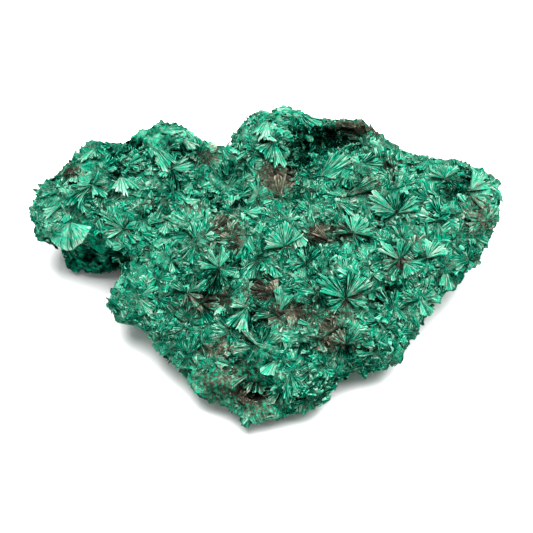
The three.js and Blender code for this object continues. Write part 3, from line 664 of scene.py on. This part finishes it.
# %% Named fans
# the root's pixel: for each of its fans, the way it opens (0 right, 90 up), half its opening, its length
# in pixels, its lift and its tone
NAMED_FANS = {
    (70, 222): [(-92, 68, 24, 2, 0.15)],
    (92, 185): [(205, 24, 24, 8, -0.05), (232, 14, 38, 8, -0.25), (-55, 24, 24, 4, 0.1),
        (5, 22, 26, 10, 0.0), (45, 20, 20, 10, -0.1), (165, 14, 20, 6, -0.1)],
    (121, 176): [(-84, 20, 34, 8, 0.22), (-48, 16, 32, 8, 0.16), (-112, 12, 30, 6, 0.1)],
    (128, 164): [(14, 24, 20, 10, 0.15), (-35, 16, 22, 6, -0.15)],
    (60, 191): [(183, 24, 30, 4, 0.1)],
    (60, 205): [(215, 26, 26, 4, 0.2)],
    (95, 148): [(-112, 30, 26, 6, 0.1), (-70, 24, 24, 6, 0.05)],
    (152, 146): [(-38, 30, 34, 10, 0.1), (-78, 16, 22, 8, 0.0)],
    (172, 168): [(190, 24, 28, 10, 0.0), (222, 16, 26, 10, 0.05), (-84, 11, 38, 12, -0.3),
        (-60, 11, 30, 12, -0.2), (-20, 20, 26, 12, 0.1), (24, 22, 24, 10, 0.15),
        (100, 24, 20, 10, 0.0)],
    (160, 132): [(10, 34, 28, 4, 0.2)],
    (182, 138): [(-40, 30, 24, 6, 0.1)],
    (124, 229): [(170, 28, 30, 10, 0.0), (205, 16, 30, 8, 0.15), (128, 24, 24, 8, 0.0),
        (80, 24, 22, 8, -0.1), (20, 24, 20, 8, 0.05)],
    (126, 232): [(-40, 24, 22, 6, 0.1)],
    (167, 220): [(-100, 22, 28, 8, 0.05), (-58, 20, 26, 8, 0.0), (190, 14, 22, 8, -0.1)],
    (219, 268): [(178, 18, 32, 12, 0.05), (212, 16, 28, 10, -0.15), (-104, 18, 42, 8, -0.3),
        (-76, 16, 40, 8, -0.2), (-40, 18, 28, 10, 0.05), (70, 22, 26, 10, 0.0), (130, 18, 24, 10, 0.1)],
    (187, 292): [(12, 24, 30, 10, 0.1), (-42, 20, 32, 8, 0.25), (150, 22, 26, 8, 0.0),
        (-95, 20, 26, 8, 0.0)],
    (248, 307): [(-122, 24, 36, 8, 0.25), (-84, 14, 28, 8, -0.1), (160, 20, 26, 10, 0.15)],
    (285, 246): [(98, 26, 32, 10, 0.0), (178, 20, 32, 10, 0.05), (140, 18, 28, 10, 0.1),
        (50, 20, 28, 10, -0.05)],
    (306, 263): [(190, 24, 24, 8, 0.0), (58, 20, 26, 10, 0.05), (-60, 22, 26, 8, -0.1),
        (120, 16, 22, 8, 0.1)],
    (328, 240): [(140, 28, 26, 10, 0.0)],
    (353, 233): [(14, 26, 28, 10, 0.1), (160, 24, 28, 10, 0.0), (60, 24, 30, 10, 0.1),
        (105, 20, 30, 10, 0.05), (-60, 24, 26, 8, -0.05)],
    (346, 298): [(146, 13, 48, 10, 0.0), (166, 10, 42, 10, 0.1), (120, 14, 34, 10, -0.1),
        (40, 22, 38, 10, 0.1), (75, 18, 32, 10, -0.1), (-30, 24, 30, 8, 0.0), (210, 22, 28, 8, 0.0)],
    (346, 345): [(130, 30, 30, 8, 0.05), (30, 26, 28, 8, 0.0)],
    (397, 213): [(92, 40, 34, 10, -0.25), (158, 20, 42, 10, 0.15), (28, 22, 34, 10, 0.1),
        (192, 16, 32, 10, 0.05)],
    (400, 260): [(82, 28, 26, 10, 0.0), (142, 18, 30, 10, 0.1), (200, 24, 28, 8, 0.0)],
    (404, 262): [(-18, 26, 30, 8, 0.05), (-70, 24, 28, 8, 0.0)],
    (427, 257): [(28, 22, 28, 8, 0.3), (75, 22, 26, 8, 0.1)],
    (318, 178): [(40, 20, 48, 6, 0.1)],
    (345, 196): [(22, 20, 46, 6, 0.25)],
    (335, 200): [(-30, 20, 30, 6, 0.0)],
    (470, 190): [(40, 36, 30, 4, 0.15)],
    (470, 195): [(-25, 30, 28, 4, 0.1)],
    (445, 178): [(-40, 28, 26, 8, -0.1), (50, 26, 22, 8, 0.2), (160, 24, 24, 8, 0.1)],
    (420, 300): [(-60, 32, 28, 6, 0.0), (170, 26, 28, 6, 0.05)],
    (290, 372): [(-84, 26, 34, 8, 0.1)],
    (290, 330): [(80, 26, 22, 8, 0.3)],
    (268, 120): [(240, 28, 30, 8, 0.25)],
    (262, 130): [(-60, 18, 24, 10, 0.3)],
    (330, 400): [(140, 24, 32, 6, 0.0)],
    (300, 158): [(180, 26, 18, 14, 0.35)],
    (232, 160): [(-90, 14, 26, 10, -0.1)],
    (245, 212): [(-10, 34, 24, 8, 0.3)],
    (238, 196): [(-60, 10, 20, 12, -0.5), (-100, 10, 20, 12, -0.5), (30, 12, 18, 12, -0.4)],
    (288, 388): [(60, 26, 20, 8, 0.3)],
    (400, 150): [(-100, 20, 22, 8, 0.1)],
}
NAMED_RIDGES, NAMED_ROWS = 5, 4
NAMED_ROOT_HEIGHT = 0.55  # mm over the solid: just over the skin
SMOOTH_DISC = 0  # the row of the disc at the left, whose rim is smooth
DISC_JAG, DISC_SHOWN = 0.03, 1.05  # of its length: how uneven its rim is, and how much stays uncovered
TURNED_NEARER = 0.35  # how much these fans turn their faces to the camera, as those seen best do
SHOWN_SHARE = 0.6  # of their length that stays uncovered
CHANCE_TONE = 0.7  # how much of the tone by chance is added to the table's
MOST_SLOPE = 1.2  # of the skin away from the camera, as far as a fan's way follows it
LEAST_FACING = 0.25  # where the skin turns away from the camera, its slope counts as no steeper than this

table = np.array([(*root, *fan) for root, fans in NAMED_FANS.items() for fan in fans])
named_root = seen_at(table[:, :2], NAMED_ROOT_HEIGHT)
named_out = unit(outward(named_root) + TURNED_NEARER * NEARER)
turn = np.radians(table[:, 2])[:, None]
seen_way = np.cos(turn) * RIGHT + np.sin(turn) * UP
facing = np.maximum(named_out @ NEARER, LEAST_FACING)[:, None]
slope = (seen_way * named_out).sum(-1, keepdims=True) / facing
along_skin = seen_way - NEARER * np.clip(slope, -MOST_SLOPE, MOST_SLOPE)
named = placed(
    named_root, named_out, along_skin, np.radians(table[:, 5]),
    np.radians(np.random.default_rng(5).uniform(-20, 20, len(table))),
    table[:, 4] / PX_PER_MM * np.linalg.norm(along_skin, axis=1), np.radians(table[:, 3]),
    seed=101, jag=0.36, stand=1.3, fall=0.6, drapes=3,
)
is_disc = np.arange(len(table)) == SMOOTH_DISC
named["jag"] = np.where(is_disc, DISC_JAG, named["jag"])
named["tone"] = CHANCE_TONE * named["tone"] + table[:, 6]
named["shown"] = np.where(is_disc, DISC_SHOWN, SHOWN_SHARE)
print("named fans:", len(table), "mean length", named["long"].mean().round(2), "mm")


def under(fans, points, share=0.85, low=-0.8, high=4.0):
    """Whether a point lies under or in a fan's broad face: within its opening, a share of its length, and
    between a low and a high distance in mm from its plane."""
    hit = np.zeros(len(points), bool)
    reach = share * fans["long"]
    for root, axis, normal, long, half in zip(
        fans["root"], fans["axis"], fans["normal"], reach, fans["half"],
    ):
        near = np.flatnonzero(np.abs(points - root).max(-1) < 1.2 * long)
        away = points[near] - root
        over = away @ normal
        flat = away - over[:, None] * normal
        distance = np.linalg.norm(flat, axis=1)
        within = (flat @ axis) > distance * np.cos(half)
        hit[near] |= within & (distance < long) & (over > low) & (over < high)
    return hit


# share of half the opening, share of the length
COVER_PLACES = [(0, 0.35), (0, 0.65), (0, 0.95), (-0.8, 0.7), (0.8, 0.7), (-0.8, 1.0), (0.8, 1.0)]


def covers(earlier, fans):
    """Whether any part of a fan lies over the inner faces of earlier fans: points along its axis and near
    both its sides are tried."""
    hit = np.zeros(len(fans["long"]), bool)
    for turn, share in COVER_PLACES:
        angle = turn * fans["half"][:, None]
        way = np.cos(angle) * fans["axis"] + np.sin(angle) * fans["side"]
        hit |= under(earlier, fans["root"] + way * (share * fans["long"])[:, None], earlier["shown"])
    return hit


# %% [markdown]
# ## Relief of the skin
# The skin gets its relief now, because it has to stay low under the fans placed one by one. Elsewhere the
# sectors round each root are tilted, creased and ridged, and the whole is broken into crags with ledges.

# %% Relief of the skin
LEAST_TILT, MORE_TILT = -0.42, 0.8  # a sector's slope away from its root, and what chance adds
LEAST_CREASE, MORE_CREASE = -0.45, 0.7  # its slope to both sides of its middle, and what chance adds
DEEPEST_STEP = -1.3  # mm from a sector to a lower one
SECTOR_RIDGES, RIDGE_HEIGHT = 3.5, 0.22  # in a sector, and in mm
SECTOR_RANGE, CRAG_RANGE = (-1.9, 0.35), (-2.2, 0.2)  # mm
COVERED_SHARE, COVERED_HEIGHT = 1.1, 3.0  # of a named fan's length, and mm from its plane
COVERED_RELIEF = 0.4  # of the hollows that is left there
MOST_LOWERED = 1.0  # mm: how much more the skin goes down there where it stands over the broad field
SKIN_TONE = -0.06

near_root, from_root, sector, across_sector = fan_sectors(skin_points)
cell = np.stack([near_root, sector, sector * 0], axis=-1)
bare = smooth_share(skin_points)
off_floor = np.clip((skin_points[:, 2] - 0.3) / FOOT_HEIGHT, 0, 1)

tilt = LEAST_TILT + MORE_TILT * chance(cell, 101)
crease = LEAST_CREASE + MORE_CREASE * chance(cell, 102)
step = DEEPEST_STEP * chance(cell, 103) ** 1.5
crags = CRAG_SHARE * (facets(skin_points, 6.5, 61) + 0.6 * facets(skin_points, 3.6, 71))
sector_width = 2 * np.pi / sector_count[near_root]
beside = np.abs(across_sector - 0.5) * sector_width * from_root
ridge = np.abs((across_sector * SECTOR_RIDGES) % 1 - 0.5) * 2 - 0.5
relief = step + tilt * (np.minimum(from_root, 5) - 2.2) + crease * beside
relief = relief + RIDGE_HEIGHT * ridge * np.minimum(from_root / 3, 1)
relief = np.clip(relief, *SECTOR_RANGE) + np.clip(crags, *CRAG_RANGE)
blocks = 0.30 * facets(skin_points, 2.6, 21) + 0.28 * facets(skin_points, 1.3, 31)
relief = relief * (1 - bare) * (0.15 + 0.85 * off_floor) + blocks * (0.35 + 0.65 * bare)
relief = relief + 0.12 * noise(skin_points, 0.9, 41)
covered = under(named, skin_points, COVERED_SHARE, -COVERED_HEIGHT, COVERED_HEIGHT)
for root in named_root:
    covered |= ((skin_points - root) ** 2).sum(-1) < CLEAR_ROOT_MM**2
over_broad = np.clip(read_field(broad_field, skin_points) - SKIN_HEIGHT, 0, MOST_LOWERED)
lowered = np.minimum(relief, 0) * COVERED_RELIEF - UNDER_NAMED_MM - over_broad
relief = np.where(covered, lowered, relief)
skin_shown = skin_points + skin_out * relief[:, None]
skin_shown[:, 2] = np.maximum(skin_shown[:, 2], 0.0)

skin_tone = SKIN_TONE + 0.3 * (chance(cell, 104) - 0.5) + 0.12 * noise(skin_points, 4.0, 51)
# painted shade: the skin is coloured darker where its relief goes down, in crags, low sectors and where it
# lies low under the fans placed one by one
skin_tone = skin_tone + PALE_TONE * region(skin_points, PALE) + 0.08 * np.clip(relief, -2, 0)
skin_kind = np.stack([skin_tone, brown_share(skin_points), bare, dark_and_shade_share(skin_points)], axis=-1)
skin_fibre = np.stack([
    across_sector * sector_width * FULL_RADIUS, np.clip(from_root / FULL_RADIUS, 0, 1), chance(cell, 105),
], axis=-1)
skin = add_mesh("grown_skin", skin_shown, skin_triangles, skin_kind, skin_fibre)

# %% [markdown]
# ## Rosettes, filling fans and splinters
# The rest of the rock is grown over in the same way, on all sides. Rosettes are rings of fans around one
# root, a few millimetres apart. Single fans fill the space between them, and short splinters fill the
# gaps that are left. Their roots are picked from the skin's own corners, one in each cell of a lattice,
# so they are spread evenly with no row to be seen.


# %% Picking places
def on_skin(points):
    """The shown skin's corner that lies nearest to each point's place on the smooth skin."""
    nearest = np.array([((skin_points - point) ** 2).sum(-1).argmin() for point in points])
    return skin_shown[nearest]


def any_way(count, random):
    """Directions spread evenly over the ball."""
    return unit(random.normal(size=(count, 3)))


# %% Rosettes
ROSETTE_FANS = 7  # round each root
ROSETTE_RIDGES, ROSETTE_ROWS = 3, 3
ROSETTE_DEPTH = 0.5  # mm: how far their roots lie in the skin
ROSETTE_LONG, ROSETTE_LONGER = 3.2, 5.8  # mm: their shortest fans, and what chance adds
ROSETTE_LOWEST = 2.0  # mm over the floor
ROSETTE_SMOOTHEST = 0.45  # smoother places have none
SHORTEST_FAN = 2.0  # mm
MISSING_FANS = 0.3  # the share of fans that never grew, so that no rosette is a whole ring
HOLLOW = 0.55  # in places darker than this no crystals catch the light

random = np.random.default_rng(7)
whole = (roots[:, 2] > ROSETTE_LOWEST) & (smooth_share(roots) < ROSETTE_SMOOTHEST)
whole &= dark_and_shade_share(roots) < HOLLOW
whole[:len(shown_roots)] = False
rosette_root = np.repeat(on_skin(roots[whole]) - ROSETTE_DEPTH * root_out[whole], ROSETTE_FANS, axis=0)
rosette_out = np.repeat(root_out[whole], ROSETTE_FANS, axis=0)
count = len(rosette_root)
start = np.repeat(random.uniform(0, 2 * np.pi, whole.sum()), ROSETTE_FANS)
turn = start + np.tile(np.arange(ROSETTE_FANS), whole.sum()) * 2 * np.pi / ROSETTE_FANS
turn = turn + random.normal(0, 0.22, count)
first_way, second_way = two_ways(rosette_out)
way = np.cos(turn)[:, None] * first_way + np.sin(turn)[:, None] * second_way
rosettes = placed(
    rosette_root, rosette_out, way, np.radians(random.uniform(-2, 24, count)),
    np.radians(random.uniform(-24, 24, count)), ROSETTE_LONG + ROSETTE_LONGER * random.random(count) ** 1.4,
    np.radians(random.uniform(12, 38, count)), seed=202, jag=0.34, thick=random.uniform(0.1, 0.35, count),
    stand=0.85,
)
grown = random.random(count) > MISSING_FANS
grown &= (rosettes["long"] > SHORTEST_FAN) & (rosettes["dark"] < HOLLOW)
rosettes = kept(rosettes, grown & ~covers(named, rosettes))
print("rosettes:", whole.sum(), "with", len(rosettes["long"]), "fans")


# %% Filling fans and splinters
SCATTER_LOWEST = 1.2  # mm over the floor
FILL_RIDGES, FILL_ROWS = 3, 2
SPLINTER_RIDGES, SPLINTER_ROWS = 2, 1


def scatter(size, seed, lengths, halves, lifts, sunk, jag, barest, darkest, before):
    """Single fans with roots one to a lattice cell, opening in any direction along the skin. None grows
    where the skin is barer or darker than the limits, or in the middle of a fan that was there before."""
    random = np.random.default_rng(seed)
    picked = thinned(skin_points, size, seed + 1)
    picked = picked[(skin_points[picked, 2] > SCATTER_LOWEST) & (bare[picked] < barest)]
    count = len(picked)
    fans = placed(
        skin_shown[picked] - skin_out[picked] * sunk, skin_out[picked], any_way(count, random),
        np.radians(random.uniform(*lifts, count)), np.radians(random.uniform(-30, 30, count)),
        random.uniform(*lengths, count), np.radians(random.uniform(*halves, count)), seed=seed + 2,
        jag=jag, thick=random.uniform(0.08, 0.3, count), stand=0.65,
    )
    fans = kept(fans, (fans["long"] > 0.5 * lengths[0]) & (fans["dark"] < darkest) & ~covers(named, fans))
    for earlier in before:
        middle = fans["root"] + fans["axis"] * (0.5 * fans["long"])[:, None]
        fans = kept(fans, ~under(earlier, middle, share=0.65, low=-1.5, high=2.0))
    return fans


fill = scatter(
    size=1.9, seed=301, lengths=(2.4, 5.5), halves=(12, 32), lifts=(0, 45), sunk=0.4, jag=0.32,
    barest=0.5, darkest=HOLLOW, before=[rosettes],
)
splinters = scatter(
    size=1.5, seed=401, lengths=(1.4, 3.0), halves=(9, 24), lifts=(0, 45), sunk=0.25, jag=0.3,
    barest=0.75, darkest=1.0, before=[rosettes, fill],
)
print("filling fans:", len(fill["long"]), "splinters:", len(splinters["long"]))

# %% Fans to meshes
MOST_TRIANGLES = 185000
MOST_OUT = 2.0  # mm over the solid: a fan that stands out further would seem to float
OFF_FLOOR = 0.02  # mm
fan_pieces = []


def near_rock(points, triangles, kind, fibre, count):
    """The fans that stay close to the rock: those whose furthest corner is less than MOST_OUT from it. All
    fans have the same number of corners, so the arrays are cut by whole fans and numbered anew."""
    each = len(points) // count
    near = (read_field(soft_field, points).reshape(count, each) < MOST_OUT).all(1)
    corners = np.repeat(near, each)
    first = triangles.reshape(count, -1, 3)[0]
    triangles = first[None] + (np.arange(near.sum()) * each)[:, None, None]
    return points[corners], triangles.reshape(-1, 3), kind[corners], fibre[corners], count - near.sum()


def add_fans(name, fans, ridges, rows):
    """Fan meshes, split from left to right into pieces that stay under the number of triangles."""
    each = 4 * ridges * (rows + 2) + 2 * rows
    parts = int(np.ceil(len(fans["long"]) * each / MOST_TRIANGLES))
    order = np.argsort(fans["root"][:, 0])
    for number, chosen in enumerate(np.array_split(order, parts)):
        shells = fan_shells(kept(fans, chosen), ridges, rows)
        points, triangles, kind, fibre, dropped = near_rock(*shells, len(chosen))
        points[:, 2] = np.maximum(points[:, 2], OFF_FLOOR)
        label = name if parts == 1 else f"{name}_{number + 1}"
        fan_pieces.append(add_mesh(label, points, triangles, kind, fibre))
        print(label, len(chosen), "fans,", dropped, "left out,", len(triangles), "triangles")


named_blades = bladed(named, blade_half=np.radians(13), loose=0.05, seed=501)
rosette_blades = bladed(rosettes, blade_half=np.radians(18), loose=0.08, seed=502)
fill_blades = bladed(fill, blade_half=np.radians(16), loose=0.12, seed=503)
add_fans("named_fans", named_blades, NAMED_RIDGES, NAMED_ROWS)
add_fans("rosette_fans", rosette_blades, ROSETTE_RIDGES, ROSETTE_ROWS)
add_fans("filling_fans", fill_blades, FILL_RIDGES, FILL_ROWS)
add_fans("splinters", splinters, SPLINTER_RIDGES, SPLINTER_ROWS)
print("triangles in all:", sum(len(piece.data.polygons) for piece in [skin, *fan_pieces]))

# %% [markdown]
# ## The malachite's finish
# Malachite fibres are silky: pale along their lit edges and deep green between them. The colour runs
# through a ramp from near black to mint. What picks the place on the ramp is a sum: the fan's own tone,
# streaks along the fibres, and a slow rise from the root to the tip. The pale lines of the streaks are
# painted sheen, the greying of bright places is partly painted highlight, and the darkness of dark places
# is partly painted shade. Rust and dark brown stains come last.


# %% Colours and node helpers
def linear(red, green, blue):
    """A screen colour from 0 to 255 as the linear light that a shader takes."""
    share = np.array([red, green, blue]) / 255
    light = np.where(share <= 0.04045, share / 12.92, ((share + 0.055) / 1.055) ** 2.4)
    return (*light, 1.0)


# place on the ramp, red, green, blue
GREENS = [
    (0.00, 0, 6, 4), (0.18, 0, 30, 21), (0.36, 0, 70, 52), (0.54, 0, 107, 80), (0.72, 8, 136, 105),
    (0.88, 34, 150, 120), (1.00, 80, 159, 137),
]
GREYS = [
    (0.00, 5, 9, 7), (0.18, 16, 27, 21), (0.36, 40, 55, 45), (0.54, 70, 84, 73), (0.72, 94, 112, 98),
    (0.88, 118, 138, 122), (1.00, 142, 162, 146),
]
BROWNS = [
    (0.0, 9, 7, 6), (0.35, 37, 31, 26), (0.6, 73, 61, 52), (0.85, 108, 92, 78), (1.0, 142, 122, 100),
]


class Nodes:
    """A short way to write a material's node tree."""

    def __init__(self, name):
        self.material = bpy.data.materials.new(name)
        self.material.use_nodes = True
        self.tree = self.material.node_tree
        self.shader = self.tree.nodes["Principled BSDF"]

    def add(self, kind, inputs=None, **settings):
        node = self.tree.nodes.new(kind)
        for key, value in settings.items():
            setattr(node, key, value)
        for key, value in (inputs or {}).items():
            self.put(node.inputs[key], value)
        return node

    def put(self, socket, value):
        if isinstance(value, bpy.types.NodeSocket):
            self.tree.links.new(value, socket)
        else:
            socket.default_value = value

    def math(self, operation, *values, clamp=False):
        node = self.add("ShaderNodeMath", operation=operation, use_clamp=clamp)
        for socket, value in zip(node.inputs, values):
            self.put(socket, value)
        return node.outputs[0]

    def total(self, first, *others):
        """The sum of all the values."""
        for other in others:
            first = self.math("ADD", first, other)
        return first

    def part(self, value, weight, middle=0.0):
        """What a value adds to a sum: how far it is over a middle, times a weight."""
        return self.math("MULTIPLY", self.math("SUBTRACT", value, middle), weight)

    def fade(self, value, low, high):
        """0 below low, 1 above high, and eased between."""
        inputs = {"Value": value, "From Min": low, "From Max": high}
        return self.add("ShaderNodeMapRange", inputs, interpolation_type="SMOOTHSTEP").outputs[0]

    def blend(self, share, first, second):
        """The first number where the share is 0, and the second where it is 1."""
        node = self.add("ShaderNodeMix", data_type="FLOAT")
        self.put(node.inputs[0], share)
        self.put(node.inputs[2], first)
        self.put(node.inputs[3], second)
        return node.outputs[0]

    def mix(self, share, first, second):
        """The same for two colours."""
        node = self.add("ShaderNodeMix", data_type="RGBA")
        self.put(node.inputs["Factor"], share)
        self.put(node.inputs["A"], first)
        self.put(node.inputs["B"], second)
        return node.outputs["Result"]

    def ramp(self, value, stops):
        node = self.add("ShaderNodeValToRGB", {"Fac": value})
        elements = node.color_ramp.elements
        while len(elements) < len(stops):
            elements.new(0.5)
        for element, (place, *colour) in zip(elements, stops):
            element.position = place
            element.color = linear(*colour)
        return node.outputs["Color"]

    def noise(self, vector, scale, detail=3.0, roughness=0.6):
        inputs = {"Vector": vector, "Scale": scale, "Detail": detail, "Roughness": roughness}
        return self.add("ShaderNodeTexNoise", inputs).outputs["Fac"]


# %% Malachite material
def malachite_material():
    """Silky green fibres. Streaks are noise that is stretched along the fan, and grains take their place
    where the rock is granular. The streaks' pale lines are painted sheen, and darkness where the rock is
    dark is partly painted shade."""
    n = Nodes("malachite")
    place = n.add("ShaderNodeTexCoord").outputs["Object"]
    own = n.add("ShaderNodeAttribute", attribute_name="kind")
    parts = n.add("ShaderNodeSeparateColor", {"Color": own.outputs["Color"]})
    tone, brown, grainy = parts.outputs[0], parts.outputs[1], parts.outputs[2]
    dark = own.outputs["Alpha"]
    fibre = n.add("ShaderNodeAttribute", attribute_name="fibre").outputs["Vector"]
    split = n.add("ShaderNodeSeparateXYZ", {"Vector": fibre})
    across, along, luck = split.outputs[0], split.outputs[1], split.outputs[2]

    def streaks(width, stretch, low, high):
        at = n.add("ShaderNodeCombineXYZ", {
            "X": n.math("DIVIDE", across, width), "Y": n.math("MULTIPLY", along, stretch),
            "Z": n.math("MULTIPLY", luck, 91.0),
        }).outputs[0]
        return n.fade(n.noise(at, 1.0, 1.0, 0.5), low, high)

    # painted sheen: the pale lines of these streaks stand for light on the silky fibres, over the fibres' own
    # streaked texture
    fine, broad = streaks(0.20, 2.5, 0.5, 0.68), streaks(0.36, 1.5, 0.28, 0.5)
    coarse_grain = n.noise(place, 700.0, 4.0, 0.65)
    tip = n.fade(along, 0.86, 1.0)
    streaks_and_sheen = n.total(n.part(fine, 0.62, 0.3), n.part(broad, 0.4, 0.8), n.part(tip, 0.12))
    streaks_and_sheen = n.total(streaks_and_sheen, n.part(along, 0.12))
    grains = n.total(n.part(coarse_grain, 1.6, 0.5), 0.06)
    grain = n.noise(place, 1500.0, 2.0)
    value = n.total(tone, n.blend(grainy, streaks_and_sheen, grains), 0.57)
    # painted shade: the colour goes darker where the rock is dark, in hollows and under the overhang, partly
    # for the dark crystals there
    value = n.total(value, n.part(grain, 0.36, 0.5), n.part(dark, -0.55))
    # painted highlight: brighter places turn greyer, as a pale sheen on them would look, and patches by
    # chance turn grey as well
    greying_and_sheen_level = n.total(n.noise(place, 620.0, 5.0, 0.8), n.part(value, 0.14))
    greying_and_sheen = n.add("ShaderNodeMapRange", {"Value": greying_and_sheen_level, "From Min": 0.535, "From Max": 0.76}).outputs[0]
    green = n.mix(greying_and_sheen, n.ramp(value, GREENS), n.ramp(value, GREYS))

    speckle = n.noise(place, 1200.0, 4.0, 0.8)
    blotch = n.fade(n.total(speckle, n.part(brown, 0.385)), 0.60, 0.72)
    rust = n.ramp(n.total(n.part(value, 0.7), 0.08), BROWNS)
    near_root = n.math("SUBTRACT", 1.0, n.fade(along, 0.0, 0.3))
    stained = n.math("MULTIPLY", near_root, n.fade(luck, 0.35, 0.75))
    stained = n.math("MULTIPLY", stained, n.math("SUBTRACT", 0.2, n.math("MULTIPLY", grainy, 0.2)))
    stained = n.math("ADD", stained, n.math("MULTIPLY", blotch, 0.9), clamp=True)
    colour = n.mix(stained, green, rust)
    n.put(n.shader.inputs["Base Color"], colour)
    n.put(n.shader.inputs["Roughness"], n.total(0.42, n.part(stained, 0.3)))
    height = n.blend(grainy, fine, coarse_grain)
    bump = n.add("ShaderNodeBump", {"Height": height, "Distance": 0.0002, "Strength": 0.8})
    n.put(n.shader.inputs["Normal"], bump.outputs[0])
    n.shader.inputs["Specular IOR Level"].default_value = 0.0
    return n.material


malachite = malachite_material()
pieces = [skin, *fan_pieces]
for piece in pieces:
    piece.data.materials.append(malachite)

# %% Ride on the solid
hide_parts(NODE)
for piece in pieces:
    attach(piece, BODY)
print("pieces:", [piece.name for piece in pieces])

# %% [markdown]
# ## Floor and light
# The specimen lies on a plain white surface. A large soft light above and to the right gives the soft
# shadow at its lower left, and a pale surround fills the shadows.

# %% Floor
FLOOR_HALF = 3.0  # metres
floor_mesh = bpy.data.meshes.new("floor")
floor_corners = [(x * FLOOR_HALF, y * FLOOR_HALF, 0) for x, y in [(-1, -1), (1, -1), (1, 1), (-1, 1)]]
floor_mesh.from_pydata(floor_corners, [], [(0, 1, 2, 3)])
floor = bpy.data.objects.new("floor", floor_mesh)
bpy.context.scene.collection.objects.link(floor)
paper = Nodes("white_paper")
paper.shader.inputs["Base Color"].default_value = linear(248, 248, 248)
paper.shader.inputs["Roughness"].default_value = 0.9
floor_mesh.materials.append(paper.material)


# %% Lights
def area_light(name, place, size, power):
    """A square soft light at a place in metres, turned towards the specimen."""
    data = bpy.data.lights.new(name, "AREA")
    data.size = size
    data.energy = power
    light = bpy.data.objects.new(name, data)
    bpy.context.scene.collection.objects.link(light)
    light.location = place
    light.rotation_euler = (Vector(MIDDLE * MM) - Vector(place)).to_track_quat("-Z", "Y").to_euler()
    return light


SURROUND_STRENGTH = 0.37
area_light("key", place=(0.12, 0.0, 1.0), size=1.1, power=56.0)
area_light("fill", place=(-0.5, -0.8, 0.9), size=0.9, power=2.0)
world = bpy.data.worlds.new("surround")
world.use_nodes = True
world.node_tree.nodes["Background"].inputs["Color"].default_value = (1, 1, 1, 1)
world.node_tree.nodes["Background"].inputs["Strength"].default_value = SURROUND_STRENGTH
bpy.context.scene.world = world
bpy.context.scene.view_settings.view_transform = "Standard"
